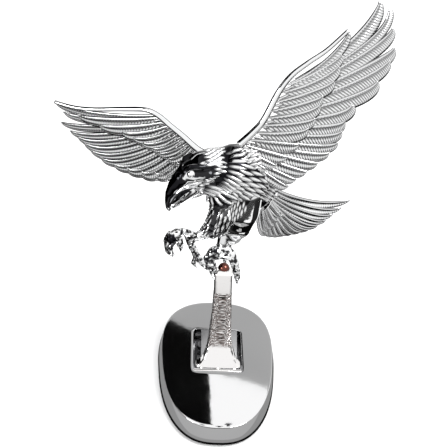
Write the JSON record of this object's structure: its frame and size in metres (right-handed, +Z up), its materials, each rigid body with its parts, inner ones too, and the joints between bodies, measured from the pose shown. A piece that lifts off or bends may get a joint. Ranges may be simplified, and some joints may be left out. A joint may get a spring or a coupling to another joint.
{
  "type": "hood ornament",
  "caption": "Plated eagle with open wings on a spring-hinged stand arm that folds back into an egg-shaped stick-on foot.",
  "frame": {"origin": "middle of the foam pad's underside, the face that sticks to the bonnet", "axes": "+Z up, -Y towards the foot's narrow front, +X to the eagle's left-wing side"},
  "size_m": [0.116, 0.074, 0.1511],
  "materials": {
    "bright_chrome": "mirror-polished nickel-chrome plate on a smooth zinc casting",
    "cast_chrome": "bright nickel-chrome plate on a feathered zinc casting, dark in the grooves",
    "arm_chrome": "bright plate with a band of fine hammered texture",
    "zinc_plate": "zinc-plated pressed steel",
    "spring_steel": "oiled spring steel",
    "copper_rivet": "brown-red copper flash under the plate",
    "foam": "black closed-cell foam"
  },
  "bodies": {
    "foot": {"base_cover": "bright_chrome", "foam_pad": "foam", "bottom_plate": "zinc_plate", "hinge_bracket": "zinc_plate", "hinge_pin": "spring_steel", "pin_clip_left": "spring_steel", "pin_clip_right": "spring_steel", "torsion_spring_left": "spring_steel", "torsion_spring_right": "spring_steel", "plate_screw_1": "zinc_plate", "plate_screw_2": "zinc_plate", "plate_screw_3": "zinc_plate", "plate_screw_4": "zinc_plate", "bracket_screw_1": "zinc_plate", "bracket_screw_2": "zinc_plate"},
    "figure": {"stand_arm": "arm_chrome", "arm_rivet": "copper_rivet", "eagle_body": "cast_chrome", "left_leg": "cast_chrome", "right_leg": "cast_chrome", "left_wing": "cast_chrome", "right_wing": "cast_chrome", "tail_fan": "cast_chrome", "left_wing_screw": "zinc_plate", "right_wing_screw": "zinc_plate", "tail_screw": "zinc_plate"}
  },
  "joints": [
    {"name": "arm_fold", "type": "hinge", "parent": "foot", "child": "figure", "pos_m": [0, -0.0026, 0.006], "axis": [-1, 0, 0], "range_deg": [0, 60], "stiffness_Nm_per_rad": 0.07, "springref_deg": -85.94, "deforming": ["torsion_spring_left", "torsion_spring_right"]}
  ]
}
